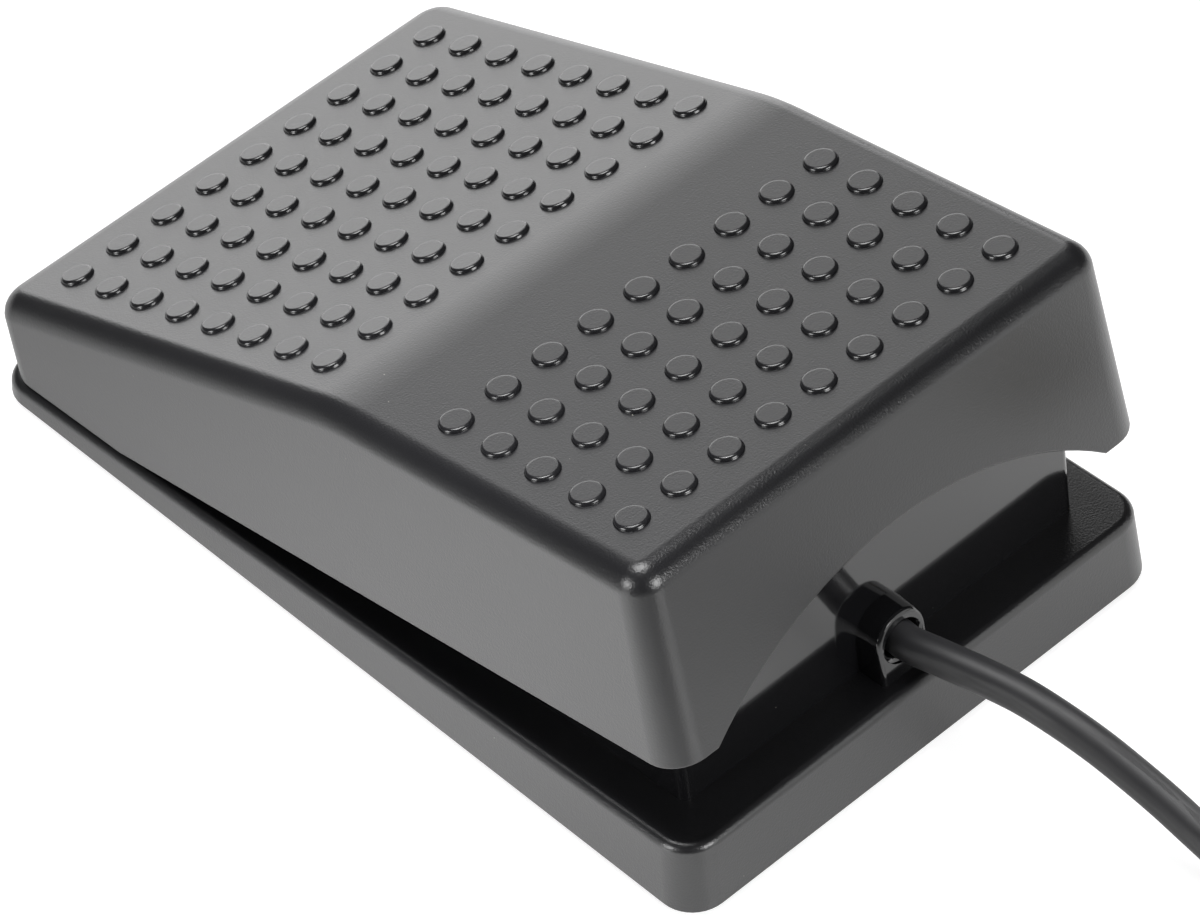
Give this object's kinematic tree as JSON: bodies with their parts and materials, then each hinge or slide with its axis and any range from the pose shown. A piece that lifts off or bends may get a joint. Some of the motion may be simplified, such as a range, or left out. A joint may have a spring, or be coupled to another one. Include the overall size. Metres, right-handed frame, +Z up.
{
  "type": "usb foot pedal switch",
  "caption": "Foot switch: a sprung two-slope pedal with raised grip dots on a wedge base, pressing a snap switch inside; a lead with a USB plug leaves the back.",
  "frame": {"origin": "under the middle of the base, on the floor", "axes": "+Y towards the cable end, along the base's length; +X to a long side; +Z up"},
  "size_m": [0.0966, 0.1898, 0.0429],
  "materials": {
    "abs_base": "satin black ABS, fine spark texture",
    "abs_pedal": "satin black ABS, fine spark texture",
    "foot_rubber": "moulded, matt",
    "zinc_steel": "zinc plated",
    "ground_steel": "ground",
    "spring_steel": "drawn wire",
    "acetal": "moulded",
    "board_laminate": "solder mask",
    "black_epoxy": "moulded",
    "nickel_can": "nickel plated",
    "capacitor_ceramic": "dipped",
    "header_nylon": "moulded",
    "wire_pvc": "extruded, four colours",
    "cable_pvc": "extruded, satin",
    "clamp_nylon": "moulded",
    "switch_body": "moulded",
    "tinned_brass": "tinned",
    "lever_steel": "stamped",
    "plunger_red": "moulded",
    "gold_contact": "gold plated"
  },
  "bodies": {
    "base": {"base_housing": "abs_base", "bottom_plate": "abs_base", "rubber_foot_1": "foot_rubber", "rubber_foot_2": "foot_rubber", "rubber_foot_3": "foot_rubber", "rubber_foot_4": "foot_rubber", "bump_stop_left": "foot_rubber", "bump_stop_right": "foot_rubber", "plate_screw_1": "zinc_steel", "plate_screw_2": "zinc_steel", "plate_screw_3": "zinc_steel", "plate_screw_4": "zinc_steel", "board_screw_1": "zinc_steel", "board_screw_2": "zinc_steel", "board_screw_3": "zinc_steel", "board_screw_4": "zinc_steel", "clamp_screw_left": "zinc_steel", "clamp_screw_right": "zinc_steel", "pivot_pin": "ground_steel", "return_spring_left": "spring_steel", "return_spring_right": "spring_steel", "pin_clip_left": "spring_steel", "pin_clip_right": "spring_steel", "circuit_board": "board_laminate", "controller_chip": "black_epoxy", "board_resistors": "black_epoxy", "crystal": "nickel_can", "plug_shell": "nickel_can", "board_capacitors": "capacitor_ceramic", "header_socket": "header_nylon", "header_plug": "header_nylon", "plug_tongue": "header_nylon", "lead_wires": "wire_pvc", "cable_inner": "cable_pvc", "cable": "cable_pvc", "cable_coil": "cable_pvc", "cable_tail": "cable_pvc", "plug_overmould": "cable_pvc", "cable_clamp": "clamp_nylon", "coil_tie": "clamp_nylon", "switch_case": "switch_body", "switch_pins": "tinned_brass", "plug_contacts": "gold_contact"},
    "pedal": {"pedal_cover": "abs_pedal", "front_grip_dots": "abs_pedal", "rear_grip_dots": "abs_pedal", "pivot_bush_left": "acetal", "pivot_bush_right": "acetal"},
    "lever": {"switch_lever": "lever_steel"},
    "plunger": {"switch_plunger": "plunger_red"}
  },
  "joints": [
    {"name": "pedal_press", "type": "hinge", "parent": "base", "child": "pedal", "pos_m": [0, -0.032, 0.0084], "axis": [-1, 0, 0], "range_deg": [0, 7], "stiffness_Nm_per_rad": 2, "springref_deg": -5.73, "deforming": ["return_spring_left", "return_spring_right"]},
    {"name": "lever_turn", "type": "hinge", "parent": "base", "child": "lever", "pos_m": [0, -0.009, 0.0175], "axis": [1, 0, 0], "range_deg": [0, 9.2]},
    {"name": "plunger_slide", "type": "slide", "parent": "base", "child": "plunger", "axis": [0, 0, -1], "range_m": [0, 0.0008]}
  ],
  "couplings": [
    {"joint": "lever_turn", "follows": "pedal_press", "ratio": 1.3},
    {"joint": "plunger_slide", "follows": "pedal_press", "m_per_rad": 0.0064}
  ]
}
